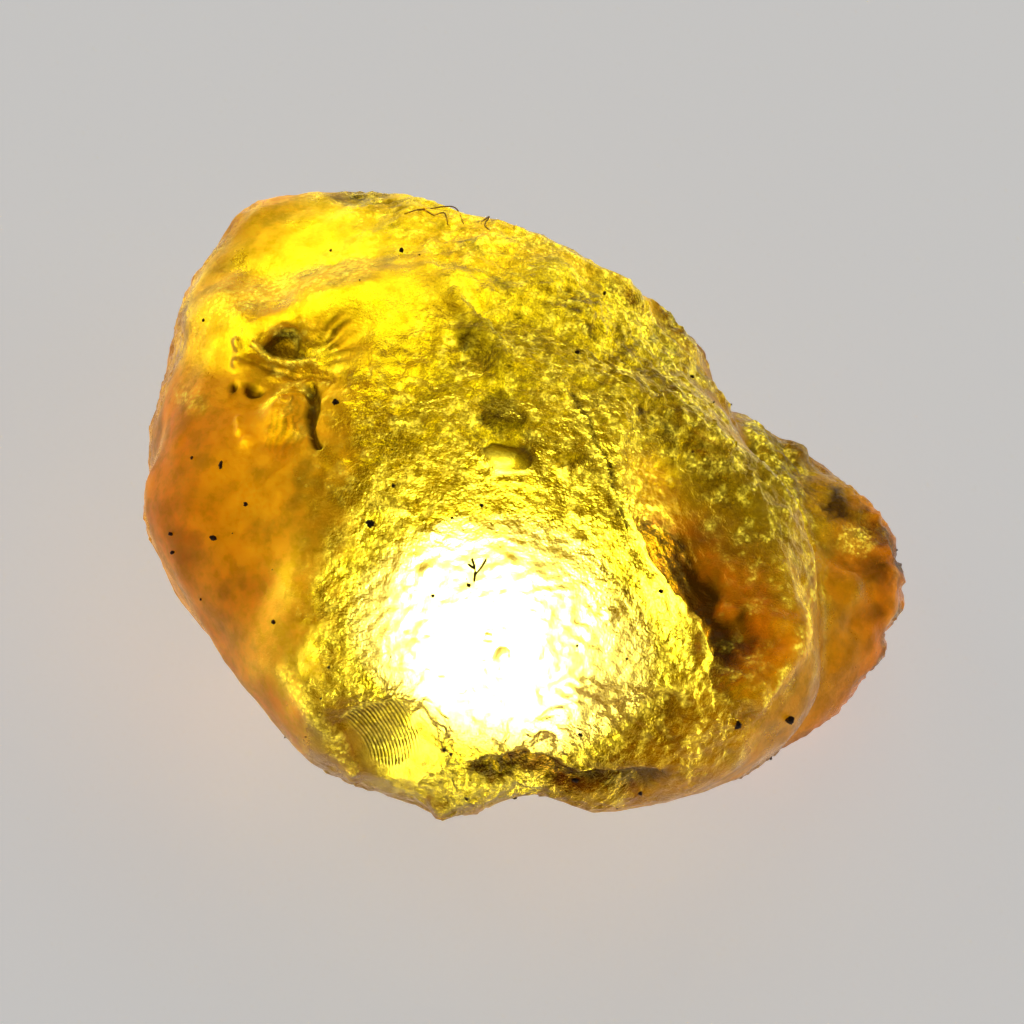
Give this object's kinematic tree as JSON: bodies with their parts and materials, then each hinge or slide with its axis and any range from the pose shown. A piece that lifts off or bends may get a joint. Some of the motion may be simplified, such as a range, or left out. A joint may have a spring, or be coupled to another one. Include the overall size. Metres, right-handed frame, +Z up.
{
  "type": "raw amber piece",
  "caption": "Rounded raw amber nugget: a broad leaning face with a long shell-shaped hollow and crest, broken pits, a low knob at one end and a flat underside.",
  "frame": {"origin": "On the resting surface, under the middle of the bounding box", "axes": "+Z up from the resting surface, +X along the length towards the low knob, the broad face leans back and looks towards -Y and up"},
  "size_m": [0.0368, 0.0328, 0.0196],
  "materials": {
    "amber": "See-through golden amber, IOR 1.54, with an orange, slightly rough weathered skin and glossy fresh chips."
  },
  "bodies": {
    "root": {"amber_nugget": "amber"}
  },
  "joints": []
}
